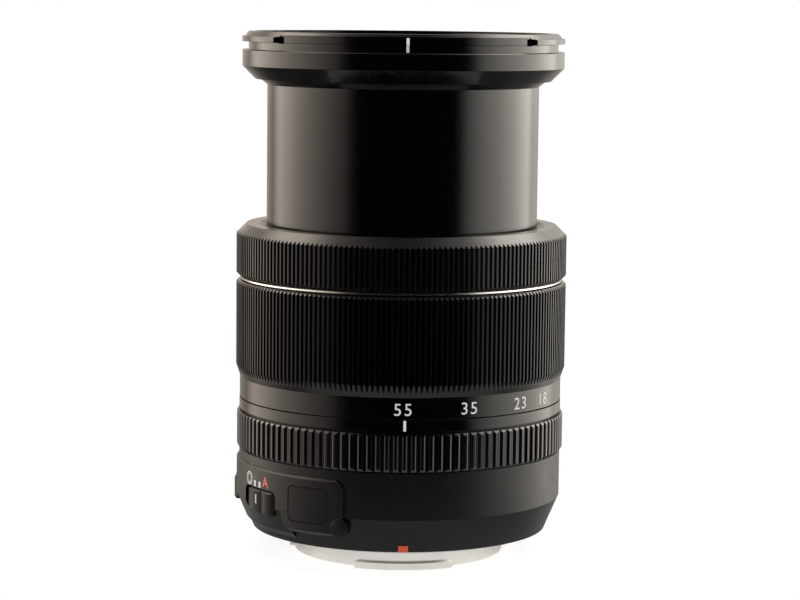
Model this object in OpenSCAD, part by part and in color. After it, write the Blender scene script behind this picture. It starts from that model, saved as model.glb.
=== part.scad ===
// Camera zoom lens, standing on its bayonet with the front tube fully extended.
// Origin: centre of the mount flange plane. +Z runs along the optical axis to the front.
// Azimuth 0 is the index side (-Y), positive azimuths run towards +X.

/* [Barrel radii] */
// Outer radius of the extending front tube
tube_r = 26.65; // [25:0.05:28]
// Wall of the front tube
tube_wall = 1.35; // [1:0.05:1.6]
// Wall of the fixed guide barrel
guide_wall = 1.6; // [1.2:0.1:2.4]
// Wall of the rotating cam barrel
cam_wall = 1.4; // [1:0.1:2]
// Wall of the sleeve that the aperture ring turns on
sleeve_wall = 0.75; // [0.6:0.05:1.2]
// Step from that sleeve out to the rear barrel
body_step = 0.8; // [0.7:0.05:1.2]
// Rise of the grip rings above the rear barrel
grip_rise = 0.7; // [0.5:0.05:1]
// Rise of the aperture ring above the rear barrel
ap_rise = 0.48; // [0.4:0.02:0.7]

/* [Lengths along the axis] */
// Height of the rear barrel's edge above the flange plane
edge_z = 0.8; // [0.5:0.1:1.2]
// Height of the rear cone
cone_h = 6.6; // [6:0.1:8]
// Height of the rear barrel above its cone
rear_h = 9; // [8:0.1:12]
// Height of the aperture ring
ap_h = 7.2; // [5:0.1:10]
// Height of the fixed index ring
index_h = 2.05; // [1.8:0.05:4]
// Height of the smooth scale band on the zoom ring
scale_h = 4.05; // [3:0.05:6]
// Height of the zoom ring above its scale band
zoom_grip_h = 19; // [16:0.1:26]
// Height of the bright accent ring
accent_h = 0.3; // [0.2:0.05:1]
// Height of the focus ring
focus_h = 10.15; // [8:0.05:14]
// Travel of the front tube over the whole zoom turn
travel = 27.5; // [24:0.5:29]

/* [Zoom drive] */
// Turn of the zoom ring from the long end to the short end, degrees
zoom_turn = 60; // [50:1:64]
// Travel of the rear carriage over the same turn
carriage_travel = 12; // [9:0.5:12.5]
// Diameter of the cam followers
follower_d = 3; // [2:0.1:3.4]

/* [Grip teeth] */
// Teeth on the focus ring and on the zoom ring
grip_teeth = 198; // [120:2:220]
// Depth of their grooves
grip_depth = 0.45; // [0.3:0.05:0.6]
// Ribs on the aperture ring
ap_teeth = 120; // [60:2:150]
// Depth of its grooves
ap_depth = 0.4; // [0.25:0.05:0.5]

/* [Front ring] */
// Diameter of the filter thread's bore
filter_d = 58; // [57:0.5:62]
// Depth of the filter bore down to the name ring
filter_depth = 3.7; // [3:0.1:4]
// Wall round the filter bore at the hood groove
hood_wall = 1.3; // [1:0.05:1.6]
// Radial height of the hood bayonet tabs
tab_rise = 1.3; // [0.8:0.05:1.6]

/* [Mount] */
// Radius of the mount flange
flange_r = 26.5; // [25.8:0.1:27]
// Thickness of the mount flange
flange_t = 1.6; // [1.4:0.1:2]
// Outer radius of the bayonet collar
collar_r = 20.6; // [20:0.1:21.2]
// Wall of the bayonet collar
collar_wall = 1.6; // [1.2:0.1:2]
// Depth of the bayonet lugs behind the flange
collar_depth = 4.28; // [4:0.02:5]
// Depth of the wider pilot ring behind the flange
pilot_depth = 2.34; // [2:0.02:2.6]
// Radial height of the bayonet lugs
lug_rise = 1.1; // [0.8:0.05:1.2]
// Thickness of the bayonet lugs
lug_t = 1.26; // [1:0.02:1.4]
// Angle that one lug spans, degrees
lug_span = 52; // [40:1:60]

/* [Switch panel] */
// Rise of the panel above the rear barrel
panel_rise = 0.5; // [0.3:0.05:0.7]
// Width of the badge plate
badge_w = 8.9; // [7:0.1:9.6]
// Height of the badge plate
badge_h = 6.7; // [5:0.1:7]
// Width of a switch knob
knob_w = 9.4; // [7:0.1:9.6]
// Height of a switch knob
knob_h = 4.6; // [3.8:0.1:4.8]
// Turn of a switch knob about the lens axis, degrees
knob_turn = 2.5; // [2.5:0.5:4]

/* [Iris] */
// Radius of the circle of blade pivots
pivot_r = 15.5; // [15.2:0.1:15.8]
// Swing of a blade from open to closed, degrees
blade_swing = 28; // [20:1:30]
// Turn of the drive ring for that swing, degrees
drive_turn = 12; // [10:1:14]
// Thickness of a blade
blade_t = 0.08; // [0.06:0.01:0.1]

/* [Clearances] */
// Running fit, radial
run_gap = 0.05; // [0.03:0.01:0.1]
// Clear gap between pieces that move past each other
free_gap = 0.3; // [0.25:0.05:0.4]
// Seam between two rings along the axis
seam = 0.25; // [0.2:0.05:0.3]
// Gap round a glass element in its cell
glass_gap = 0.1; // [0.05:0.01:0.15]

/* [Hidden] */
$fn = 96;
// Overshoot of a cutting body past the face that it cuts
over = 1;
blade_count = 7;

// Radii, from the front tube outwards
tube_in = tube_r - tube_wall;
guide_in = tube_r + free_gap;
guide_out = guide_in + guide_wall;
cam_in = guide_out + run_gap;
cam_out = cam_in + cam_wall;
bore_r = cam_out + free_gap;
sleeve_r = bore_r + sleeve_wall;
body_r = sleeve_r + body_step;
grip_r = body_r + grip_rise;
ap_r = body_r + ap_rise;
panel_r = body_r + panel_rise;
cavity_r = guide_out + free_gap;
focus_seat_r = bore_r - run_gap;
// The rear edge stands outside both the flange and the cavity
skirt_w = 2.6;
edge_wall = 0.1;
edge_r = max(flange_r + skirt_w, cavity_r + edge_wall);
cone_drop = body_r - edge_r;

// Heights, from the flange plane forwards
cone_z = edge_z + cone_h;
shoulder_z = cone_z + rear_h;
ap_z = shoulder_z + seam;
// The seam above the aperture ring is wider than the others
ap_seam = seam + 0.25;
index_z = ap_z + ap_h + ap_seam;
zoom_z = index_z + index_h + seam;
grip_z = zoom_z + scale_h;
zoom_top = grip_z + zoom_grip_h;
accent_z = zoom_top + seam;
focus_z = accent_z + accent_h + seam;
focus_top = focus_z + focus_h;
// The front ring's chamfer dips this far into the focus ring's mouth when the lens is short
nest = 0.3;
front_z = focus_top + travel - nest;

// Mount and rear wall
wall_z = flange_t;
wall_t = 1.8;
floor_z = wall_z + wall_t;
light_w = 2.5;
collar_in = collar_r - collar_wall;
wall_in = collar_in - light_w;
flange_gap = 0.2;
screw_r = 0.8;
screw_head_r = 1.5;
screw_head_h = 0.8;
screw_bite = 1.2;
screw_angles = [45, 135, 225, 315];
lug_r = collar_r + lug_rise;
mount_screw_circle = (lug_r + flange_r) / 2;
guide_flange_w = 4.3;
frame_screw_circle = guide_in - guide_flange_w / 2;
// Turn of the bayonet lugs from the index, and the collar's rim above their underside
lug_turn = 1.3;
collar_rim = 0.22;
lock_angle = 90;
lock_hole_r = 1.3;
lock_hole_depth = 1;

// Rear baffle and contacts
baffle_out = collar_in - free_gap;
baffle_z = 0.5 - collar_depth;
baffle_t = 1;
baffle_lap = 0.5;
window_w = 2 * (wall_in - 4.5);
window_h = 2 * (wall_in - 8);
window_corner = 2;
contact_in = wall_in - 1.2;
contact_circle = (contact_in + baffle_out) / 2;
contact_half = 49;
contact_margin = 3;
contact_count = 10;
contact_pitch = 9.2;
contact_r = 0.57;
contact_gap = 0.03;
contact_tip = 0.15;
contact_face = 0.35;
contact_depth = 2;

// Rear lens cell and circuit board
rear_glass_r = wall_in - 3.5;
rear_cell_r = rear_glass_r + 1.8;
rear_cell_z = -2.4;
rear_cell_top = floor_z + 3.6;
rear_flange_r = wall_in + 4.5;
rear_flange_t = 1.2;
rear_glass_z = -1.6;
rear_glass_t = 3.2;
rear_air = 0.6;
rear_top_t = 4.2;
rear_curves = [90, 60, 60, 70];
board_z = floor_z + 1.6;
board_t = 1;
board_in = rear_cell_r + 0.4;
chip = 4;
chip_h = 1.5;
chip_circle = board_in + 6.8;
chip_angles = [20 : 45 : 335];

// Switch panel: azimuths in degrees from the index
panel_a0 = -118;
panel_a1 = -20.7;
panel_top = shoulder_z - 1.8;
panel_low = edge_z + 2.1;
panel_corner = 3.4;
panel_root = bore_r + 0.5;
// Foot of the panel on the cone: it stops under the bulge
panel_foot = 1.6;
foot_root = cavity_r + 0.15;
foot_a1 = -43;
panel_under = 1.6;
panel_bevel = 0.35;
// The bulge that carries the badge stays a hair below the panel's face
bulge_r = panel_r - 0.03;
bulge_root = cavity_r + 0.5;
bulge_top = panel_top - 1;
bulge_w = 13.6;
bulge_corner = 3;
bulge_turn = 0.7;
bulge_bevel = 0.6;
// Domed boss at the bulge's lower corner beside the index
boss_a = -22;
boss_r = 1.75;
boss_dome = 7;
boss_rise = 0.4;
boss_drop = 1.8;
badge_a = -34.4;
badge_z = cone_z + 1.8;
badge_gap = 0.15;
badge_t = 0.7;
badge_edge = 2.1;
badge_corner = 1.05;
badge_float = 0.02;
badge_sink = 0.05;
mode_a = -57.7;
stabiliser_a = -92.8;
knob_z = cone_z + 0.65;
knob_rise = 0.4;
knob_bevel = 0.45;
recess_depth = 1.15;
recess_r = panel_r - recess_depth;
stem_w = 3;
stem_h = 1.2;
stem_z = cone_z - 0.1;
clip_w = 5;
clip_h = 2.2;
clip_t = 0.8;
pocket_r = bore_r + 0.1;
stem_play = 0.6;
recess_corner = 1.4;
knob_corner = 1.1;
knob_gap = 0.1;
// Two rounded lobes of a knob: the place of the groove between them, as a part of the width, and their radii
lobe_split = 0.545;
lobe_radii = [6.8, 4.2];

// Index mark on the cone
mark_w = 1.86;
mark_h = 1.36;
mark_z = edge_z + 0.7;
mark_depth = 0.6;
mark_rise = 0.2;
mark_gap = 0.02;
knob_mid_r = panel_r - recess_depth / 2;
knob_slide = knob_mid_r * knob_turn * PI / 180;

// Rings: half a rib's outline as parts of the pitch and of the depth, bevels of the ribs,
// and the slopes where the ribs run out
grip_rib = [[0.17, 0], [0.39, 1]];
ap_rib = [[0.14, 0], [0.28, 0.35], [0.4, 1]];
ap_bevel = 0.75 * ap_depth;
focus_foot = 0.65;
focus_slope = 1.95;
mouth_depth = 1;
mouth_gap = 0.1;
mouth_w = 1.3;
band_drop = 0.05;
zoom_slope = 2.3;
zoom_bevel = 0.55;
accent_drop = 0.1;
key_depth = 1;
key_gap = 0.1;

// Mouth of the guide barrel
guide_top = focus_top - 1.3;
seal_w = 0.8;
seal_z = focus_top - 3;
seal_h = 1.6;
clip_z = focus_z + 2.6;
clip_gap = 0.1;
clip_ring_t = 0.6;
clip_groove = 0.8;
clip_ring_w = 1.3;
clip_open = 20;

// Zoom drive
follower_r = follower_d / 2;
follower_gap = 0.15;
pin_gap = 0.2;
cam_gap = 0.2;
slot_r = follower_r + follower_gap;
front_pin_z = zoom_z + 12.3;
front_tail = 2.5;
tube_z = front_pin_z - front_tail;
carriage_pin_z = zoom_z + 2.4;
cam_z = front_pin_z - travel - slot_r - 1;
cam_top = zoom_top - 2.1;
key_z = cam_top - 2.2;
key_r = 1.5;
key_angles = [30, 150, 270];
front_angles = [0, 120, 240];
carriage_angles = [60, 180, 300];
cam_steps = 24;

// Front ring
filter_r = filter_d / 2;
hood_r = filter_r + hood_wall;
tab_r = hood_r + tab_rise;
chamfer_h = 1.1;
lip_r = tube_r + 1.35;
rim_z = front_z + 10.35;
cone_top_z = front_z + 3.65;
hood_groove_z = front_z + 6.85;
tab_z = front_z + 8.3;
tab_top = front_z + 9.4;
// Slots beside the hood tabs, degrees from the index
slot_angles = [-50.7, 49.3];
slot_half = 2;
neck_wall = 0.75;
neck_r = tube_in + neck_wall;
neck_h = 2.5;
cell_flange_t = 0.8;
cell_tail = 6;
name_t = 0.8;
// Seat of the front cell and the name ring, inside the filter bore
seat_drop = 0.6;
seat_r = filter_r - seat_drop;
seat_gap = 0.1;
name_z = rim_z - filter_depth - name_t;
cell_top = name_z - cell_flange_t;
front_glass_r = tube_in - 4.3;
glass_lap = 0.4;
// The front glass lies deep enough that a filter clears it
front_edge = name_z - 1.9;
front_curve = 90;
bond_curve = 70;
inner_curve = 160;
front_glass_t = 2.6;
bond_gap = 0.1;
inner_glass_t = 4.3;
name_dish_r = tube_in + 0.7;
name_flat_r = filter_r - 1.8;
name_in = front_glass_r - glass_lap;
name_lip_z = front_edge + 0.35;
name_step = 0.35;
ridge_count = 7;
ridge_depth = 0.12;
ridge_from = 0.1;
ridge_run = 0.6;
// Details of the front ring's outline
lip_step = 1;
rim_drop = 0.07;
rim_bevel = 0.15;
rim_inset = 0.25;
tab_slope = 0.1;
tab_lip = 0.8;
entry_depth = 0.45;
slot_depth = 0.6;
slot_margin = 0.1;

// Rear carriage, from its end plate forwards
car_gap = 0.4;
car_out = tube_in - car_gap;
car_wall = 1.4;
car_in = car_out - car_wall;
plate_t = 1.2;
plate_in = 14;
plate_z = cam_z + carriage_travel + car_gap;
car_z = plate_z + plate_t;
bay_h = 9.4;
ledge_z = car_z + bay_h;
ledge_t = 1.2;
ledge_in = 11;
deck_z = ledge_z + ledge_t;
deck_t = 1.2;
move_gap = 0.4;
frame_z = deck_z + deck_t + move_gap;
frame_t = 0.8;
stab_z = frame_z + frame_t + move_gap;
stab_h = 2.4;
housing_z = stab_z + stab_h + 0.6;
housing_t = 1;
blade_z = housing_z + housing_t + move_gap;
blade_step = 0.14;
ring_z = blade_z + blade_count * blade_step + move_gap;
ring_t = 0.8;
cover_z = ring_z + ring_t + move_gap;
cover_t = 0.8;
variator_h = 13.6;
car_top = cover_z + cover_t + variator_h;
unit_r = car_in - free_gap;
skirt_wall = 1.1;
stab_glass_r = 9.5;
stab_cell_r = 13.4;
stab_plate_t = 1;
stab_plate_w = 2.6;
stab_pin_lap = 0.5;
guide_pin_r = 0.6;
guide_pin_circle = 17;
stab_shift = 0.6;
shift_play = 0.2;
frame_in_w = 2.2;
frame_out_w = 2;
magnet = [6, 3, 1.2];
magnet_angles = [0, 90];
magnet_set = 2;
winding_t = 0.35;
winding = [7, 4];
winding_eye = [4, 1.4];
winding_set = 0.5;
stab_curve = 60;
stab_flat = 200;
stab_back_z = 0.3;
stab_back_t = 1.1;
stab_air = 0.1;
stab_front_t = 1.2;

// Iris
iris_ring_r = 17.6;
iris_open_r = 9.6;
iris_ring_w = 4.3;
blade_out_r = 14.2;
blade_lap = 0.2;
blade_ear = 1.1;
blade_root = 3;
pivot_pin_r = 0.5;
pivot_top_gap = 0.15;
drive_pin_r = 0.35;
drive_pin_gap = 0.1;
drive_slot_gap = 0.2;
drive_arm = 3;
tab_angles = [165, 177];
tab_window = [150, 195];
tab_out = 0.6;
tab_t = 1.2;
tab_gap = 0.4;
tab_h = 4;
actuator_angles = [148, 200];
actuator_in = 0.2;
actuator_h = 4.5;

// Variator and relay
variator_r = 13;
variator_wall = 1.6;
variator_flange = 1.2;
variator_gap = 1;
variator_a_z = -2.4;
variator_a_t = 3;
variator_a_curves = [-24, 120];
variator_b_z = -8;
variator_b_t = 1.6;
variator_b_curves = [-60, 200];
variator_c_gap = 0.2;
variator_c_t = 4;
variator_c_curves = [80, 45];
relay_lap = 0.1;
relay_rise = 1;
relay_curves = [90, 80];
deck_in = ledge_in + 1;

// Focus group, which takes its places from the carriage's wall
focus_glass_r = 8.4;
focus_cell_r = 11;
focus_z0 = car_z + 2.7;
focus_t = 4;
focus_glass_z = 0.8;
focus_glass_t = 1.4;
focus_curves = [-30, 50];
shaft_r = 0.8;
shaft_circle = car_in - 4.1;
shaft_angles = [90, 270];
sleeve_lug_r = 1.7;
arm_w = 2;
arm_h = 2;
arm_lap = 0.8;
yoke_w = 6;
yoke_leg = 0.8;
yoke_slot = 2.2;
yoke_foot = 0.2;
yoke_out = car_in - 2;
leg_r = yoke_out - yoke_leg - yoke_slot - yoke_leg / 2;
coil_h = 3;
coil_w = 9;
coil_t = 3.4;
coil_eye = [6.8, 1.8];
coil_set = 0.3;
coil_in = leg_r + coil_set - coil_t / 2;

// Lens shapes
function sag(c, r) = c - sqrt(c * c - r * r);

function polar(r, a) = [r * cos(a), r * sin(a)];

// Outline of a ribbed ring: half a rib's outline, mirrored and repeated
function ribs(r, depth, n, rib) = [
    for (i = [0 : n - 1])
        for (side = [-1, 1])
            for (j = [0 : len(rib) - 1])
                let (p = rib[side < 0 ? len(rib) - 1 - j : j])
                    polar(r - depth * p[1], (i + side * p[0]) * 360 / n)
];

module tube(r_in, r_out, z0, z1) {
    rotate_extrude() translate([r_in, z0]) square([r_out - r_in, z1 - z0]);
}

module sector(r_in, r_out, z0, z1, a0, a1) {
    rotate([0, 0, a0 - 90])
        rotate_extrude(angle = a1 - a0) translate([r_in, z0]) square([r_out - r_in, z1 - z0]);
}

module at(a) {
    rotate([0, 0, a]) children();
}

module rounded(w, h, r) {
    square([w - 2 * r, h], center = true);
    square([w, h - 2 * r], center = true);
    for (x = [-1, 1])
        for (y = [-1, 1]) translate([x * (w / 2 - r), y * (h / 2 - r)]) circle(r);
}

// Prism that points outwards at azimuth a, from radius r0 to r1, centred on height z
module radial(a, z, r0, r1) {
    at(a) translate([0, -r0, z]) rotate([90, 0, 0]) linear_extrude(r1 - r0) children();
}

module oblong(h, r) {
    square([2 * r, h], center = true);
    for (y = [-1, 1]) translate([0, y * h / 2]) circle(r);
}

// Round glass: curvatures above 0 bulge outwards, below 0 are hollow
module element(z0, z1, r, back, front) {
    $fn = 240;
    low = back < 0 ? z0 - sag(-back, r) : z0;
    high = front < 0 ? z1 + sag(-front, r) : z1;
    difference() {
        intersection() {
            translate([0, 0, low]) cylinder(r = r, h = high - low);
            if (front > 0) translate([0, 0, z1 - front]) sphere(front);
            else translate([0, 0, low - over]) cylinder(r = r + over, h = high - low + 2 * over);
            if (back > 0) translate([0, 0, z0 + back]) sphere(back);
            else translate([0, 0, low - over]) cylinder(r = r + over, h = high - low + 2 * over);
        }
        if (front < 0) translate([0, 0, z1 - front]) sphere(-front);
        if (back < 0) translate([0, 0, z0 + back]) sphere(-back);
    }
}

// Cutter for a helical cam slot that starts at azimuth a and height z and drops as it turns
module cam_cut(a, z, drop) {
    r0 = cam_in - over;
    r1 = cam_out + over;
    arc = zoom_turn * PI / 180 * (cam_in + cam_out) / 2;
    run = sqrt(arc * arc + drop * drop);
    da = slot_r * drop / run * zoom_turn / arc;
    dz = slot_r * arc / run;
    points = [
        for (i = [0 : cam_steps])
            let (t = i / cam_steps, b = a + t * zoom_turn - 90, h = z - t * drop)
                for (p = [[r0, 1], [r1, 1], [r1, -1], [r0, -1]])
                    concat(polar(p[0], b + p[1] * da), [h + p[1] * dz])
    ];
    sides = [
        for (i = [0 : cam_steps - 1])
            for (j = [0 : 3])
                let (k = 4 * i + j, l = 4 * i + (j + 1) % 4)
                    for (f = [[k, k + 4, l], [l, k + 4, l + 4]]) f
    ];
    last = 4 * cam_steps;
    ends = [[0, 1, 2], [0, 2, 3], [last + 2, last + 1, last], [last + 3, last + 2, last]];
    polyhedron(points, concat(sides, ends));
    for (t = [0, 1]) radial(a + t * zoom_turn, z - t * drop, r0, r1) circle(slot_r);
}

module screw(r, length, head_r, head_h) {
    difference() {
        union() {
            cylinder(r = r, h = length);
            cylinder(r = head_r, h = head_h);
        }
        for (a = [0, 90])
            rotate([0, 0, a]) cube([head_r * 1.2, head_r * 0.3, head_h], center = true);
    }
}

module mount_bayonet() {
    color("silver")
    difference() {
        union() {
            rotate_extrude()
                polygon([
                    [collar_in, collar_rim - collar_depth], [collar_r, collar_rim - collar_depth],
                    [collar_r, -pilot_depth], [lug_r, -pilot_depth], [lug_r, 0], [flange_r, 0],
                    [flange_r, flange_t], [collar_in, flange_t]
                ]);
            for (a = front_angles)
                sector((collar_in + collar_r) / 2, lug_r, -collar_depth, lug_t - collar_depth,
                    a + lug_turn - lug_span / 2, a + lug_turn + lug_span / 2);
        }
        for (a = screw_angles)
            at(a) translate([0, -mount_screw_circle, -over]) {
                cylinder(r = screw_r + run_gap, h = flange_t + 2 * over);
                cylinder(r = screw_head_r + run_gap, h = over + screw_head_h + run_gap);
            }
        at(lock_angle) translate([0, -mount_screw_circle, -over])
            cylinder(r = lock_hole_r, h = over + lock_hole_depth);
    }
}

module mount_screws() {
    color("silver")
    for (a = screw_angles)
        at(a) translate([0, -mount_screw_circle, run_gap])
            screw(screw_r, flange_t + screw_bite, screw_head_r, screw_head_h);
}

module frame_screws() {
    color("dimgray")
    for (a = front_angles)
        at(a) translate([0, -frame_screw_circle, wall_z])
            screw(screw_r, wall_t + screw_bite, screw_head_r, screw_head_h);
}

module rear_baffle() {
    half = contact_half + contact_margin;
    color("black")
    difference() {
        union() {
            tube(wall_in, baffle_out, baffle_z, wall_z);
            translate([0, 0, baffle_z]) cylinder(r = wall_in + baffle_lap, h = baffle_t);
        }
        translate([0, 0, -collar_depth]) linear_extrude(collar_depth)
            rounded(window_w, window_h, window_corner);
        sector(contact_in - over, collar_r, -collar_depth - over, wall_z + over, 180 - half, 180 + half);
    }
}

module contact_block() {
    color("black")
    difference() {
        sector(contact_in, baffle_out, contact_face - collar_depth, wall_z,
            180 - contact_half, 180 + contact_half);
        contact_row()
            translate([0, 0, -collar_depth]) cylinder(r = contact_r + contact_gap, h = contact_depth);
    }
}

// Places of the contact pins, in a row on the far side from the index
module contact_row() {
    for (i = [0 : contact_count - 1])
        at(180 + (i - (contact_count - 1) / 2) * contact_pitch) translate([0, -contact_circle, 0]) children();
}

module contact_pins() {
    color("gold")
    contact_row()
        translate([0, 0, contact_tip - collar_depth])
            cylinder(r = contact_r, h = contact_depth - contact_tip);
}

// Radius of the rear cone at height z
function cone_r(z) = edge_r + (z - edge_z) * cone_drop / cone_h;

module panel_shape() {
    bulge_z = (badge_z - badge_h / 2 - badge_edge + bulge_top) / 2;
    bulge_h = 2 * (bulge_top - bulge_z);
    bulge_low = bulge_top - bulge_h;
    difference() {
        rotate([0, 0, panel_a0 - 90])
            rotate_extrude(angle = panel_a1 - panel_a0)
                polygon([
                    [foot_root, panel_low - panel_foot], [cone_r(panel_low) + panel_rise, panel_low],
                    [panel_r, cone_z], [panel_r, panel_top - panel_bevel], [panel_r - panel_bevel, panel_top],
                    [panel_root, panel_top], [panel_root, cone_z], [foot_root, cone_z - over]
                ]);
        // The foot over the cone stops under the bulge
        rotate([0, 0, foot_a1 - 90])
            rotate_extrude(angle = panel_a1 - foot_a1 + over)
                polygon([
                    [cavity_r, 0], [panel_r + over, 0], [panel_r + over, cone_z + over],
                    [panel_root, cone_z - panel_under], [cavity_r, cone_z - panel_under]
                ]);
        // Rounded upper corner at the index end
        radial(panel_a1, panel_top, cavity_r, panel_r + over)
            difference() {
                square(2 * panel_corner, center = true);
                translate([-0.9 * panel_corner, -0.9 * panel_corner]) circle(panel_corner);
            }
    }
    // Lower bulge that carries the badge plate over the cone
    intersection() {
        rotate_extrude()
            polygon([
                [bulge_root, bulge_low - over], [bulge_r - 2 * bulge_bevel, bulge_low - over],
                [bulge_r - 2 * bulge_bevel, bulge_low - bulge_bevel], [bulge_r, bulge_low + bulge_bevel],
                [bulge_r, bulge_top + over], [panel_root, bulge_top + over], [panel_root, cone_z],
                [bulge_root, cone_z]
            ]);
        radial(badge_a + bulge_turn, bulge_z, cavity_r - over, panel_r + over)
            rounded(bulge_w, bulge_h, bulge_corner);
    }
    intersection() {
        radial(boss_a, cone_z - boss_drop, bulge_root, panel_r + over) circle(boss_r);
        at(boss_a) translate([0, boss_dome - panel_r - boss_rise, cone_z - boss_drop]) sphere(boss_dome);
    }
}

module recess(a, depth_r) {
    intersection() {
        tube(depth_r, panel_r + over, 0, panel_top);
        radial(a, knob_z, cavity_r, panel_r + over)
            rounded(knob_w + knob_slide + 2 * free_gap, knob_h + 2 * free_gap, recess_corner);
    }
}

module switch_cuts(a) {
    stem_a = knob_angle(stem_w) + stem_play;
    clip_a = knob_angle(clip_w) + stem_play;
    recess(a - knob_turn / 2, recess_r);
    // Slot for the stem and the pocket behind the panel wall
    sector(cavity_r - over, recess_r + over, stem_z - stem_h / 2 - free_gap, stem_z + stem_h / 2 + free_gap,
        a - knob_turn - stem_a, a + stem_a);
    sector(cavity_r - over, pocket_r, stem_z - clip_h / 2 - free_gap, cam_z + over,
        a - knob_turn - clip_a, a + clip_a);
}

// Half the angle that a width spans at the switch
function knob_angle(w) = w / 2 / bore_r * 180 / PI;

module rear_barrel() {
    color("#1b1b1d")
    difference() {
        union() {
            rotate_extrude()
                polygon([
                    [wall_in, wall_z], [flange_r + flange_gap, wall_z], [flange_r + flange_gap, edge_z],
                    [edge_r, edge_z], [body_r, cone_z], [body_r, shoulder_z], [sleeve_r, shoulder_z],
                    [sleeve_r, index_z], [bore_r, index_z], [bore_r, cam_z - cam_gap],
                    [cavity_r, cam_z - cam_gap], [cavity_r, floor_z], [wall_in, floor_z]
                ]);
            panel_shape();
        }
        // Seats of the badge plate and the index mark
        intersection() {
            tube(panel_r - badge_t, panel_r + over, 0, shoulder_z);
            radial(badge_a, badge_z, cavity_r, panel_r + over)
                rounded(badge_w + 2 * badge_gap, badge_h + 2 * badge_gap, badge_corner + badge_gap);
        }
        radial(0, mark_z, edge_r - mark_depth, edge_r + over)
            square([mark_w + 2 * mark_gap, mark_h + 2 * mark_gap], center = true);
        switch_cuts(mode_a);
        switch_cuts(stabiliser_a);
        for (a = screw_angles)
            at(a) translate([0, -mount_screw_circle, wall_z - over])
                cylinder(r = screw_r + run_gap, h = over + screw_bite + free_gap);
        for (a = front_angles)
            at(a) translate([0, -frame_screw_circle, wall_z - over]) {
                cylinder(r = screw_r + run_gap, h = wall_t + 2 * over);
                cylinder(r = screw_head_r + run_gap, h = over + screw_head_h);
            }
    }
}

module index_mark() {
    color("orangered")
    intersection() {
        radial(0, mark_z, edge_r - mark_depth, edge_r + over) square([mark_w, mark_h], center = true);
        rotate_extrude()
            polygon([
                [edge_r - over, edge_z], [edge_r + mark_rise, edge_z],
                [edge_r + mark_rise + 2 * mark_h * cone_drop / cone_h, edge_z + 2 * mark_h],
                [edge_r - over, edge_z + 2 * mark_h]
            ]);
    }
}

module badge_plate() {
    color("#202022")
    intersection() {
        tube(panel_r - badge_t + badge_float, panel_r - badge_sink, 0, shoulder_z);
        radial(badge_a, badge_z, cavity_r, panel_r + over) rounded(badge_w, badge_h, badge_corner);
    }
}

module switch_knob(a) {
    top_r = panel_r + knob_rise;
    low = knob_z - knob_h / 2;
    high = knob_z + knob_h / 2;
    split = knob_w * (lobe_split - 0.5);
    lobe_x = [(split - knob_w / 2) / 2, (split + knob_w / 2) / 2];
    color("#121213")
    union() {
        intersection() {
            rotate_extrude()
                polygon([
                    [recess_r + knob_gap, low - over / 2], [top_r - knob_bevel - over / 2, low - over / 2],
                    [top_r + over, low + knob_bevel + over], [top_r + over, high - knob_bevel - over],
                    [top_r - knob_bevel - over / 2, high + over / 2], [recess_r + knob_gap, high + over / 2]
                ]);
            radial(a, knob_z, cavity_r, panel_r + over) rounded(knob_w, knob_h, knob_corner);
            union() {
                for (i = [0, 1])
                    at(a + asin(lobe_x[i] / top_r)) translate([0, lobe_radii[i] - top_r, knob_z])
                        cylinder(r = lobe_radii[i], h = knob_h + 2 * over, center = true);
            }
        }
        sector(bore_r - clip_t / 2, recess_r + free_gap, stem_z - stem_h / 2, stem_z + stem_h / 2,
            a - knob_angle(stem_w), a + knob_angle(stem_w));
        sector(bore_r - free_gap - clip_t, bore_r - free_gap, stem_z - clip_h / 2, stem_z + stem_h / 2,
            a - knob_angle(clip_w), a + knob_angle(clip_w));
    }
}

module mode_switch() {
    switch_knob(mode_a);
}

module stabiliser_switch() {
    switch_knob(stabiliser_a);
}

module rear_cell() {
    color("black")
    union() {
        tube(rear_glass_r + glass_gap, rear_cell_r, rear_cell_z, rear_cell_top);
        tube(rear_cell_r - over, rear_flange_r, floor_z, floor_z + rear_flange_t);
    }
}

module lens_rear() {
    top_z = rear_glass_z + rear_glass_t + rear_air;
    color("lightblue") {
        element(rear_glass_z, rear_glass_z + rear_glass_t, rear_glass_r, rear_curves[0], rear_curves[1]);
        element(top_z, top_z + rear_top_t, rear_glass_r, rear_curves[2], rear_curves[3]);
    }
}

module main_board() {
    color("darkgreen")
    union() {
        tube(board_in, guide_in - free_gap, board_z, board_z + board_t);
        for (a = chip_angles)
            at(a) translate([-chip / 2, -chip_circle, board_z + board_t / 2]) cube([chip, chip, chip_h]);
    }
}

module slot_cuts(angles, z, drop) {
    for (a = angles)
        radial(a, z - drop / 2, guide_in - over, guide_out + over) oblong(drop, slot_r);
}

module guide_barrel() {
    color("#2a2a2c")
    difference() {
        union() {
            tube(guide_in, guide_out, floor_z, guide_top);
            tube(guide_in - guide_flange_w, guide_out, floor_z, board_z);
            tube(guide_in, focus_seat_r, accent_z + accent_h, guide_top);
        }
        slot_cuts(front_angles, front_pin_z, travel);
        slot_cuts(carriage_angles, carriage_pin_z, carriage_travel);
        // Seat of the dust seal
        tube(guide_in - over, guide_in + seal_w, seal_z, focus_top);
        // Groove of the clip that holds the focus ring
        tube(focus_seat_r - clip_groove, focus_seat_r + over, clip_z, clip_z + clip_ring_t + 2 * clip_gap);
        for (a = front_angles)
            at(a) translate([0, -frame_screw_circle, floor_z - over])
                cylinder(r = screw_r + run_gap, h = over + screw_bite + run_gap);
    }
}

module index_ring() {
    color("#1b1b1d")
    tube(bore_r, body_r, index_z, index_z + index_h);
}

module accent_ring() {
    color("gainsboro")
    tube(guide_out + run_gap, body_r - accent_drop, accent_z, accent_z + accent_h);
}

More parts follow.
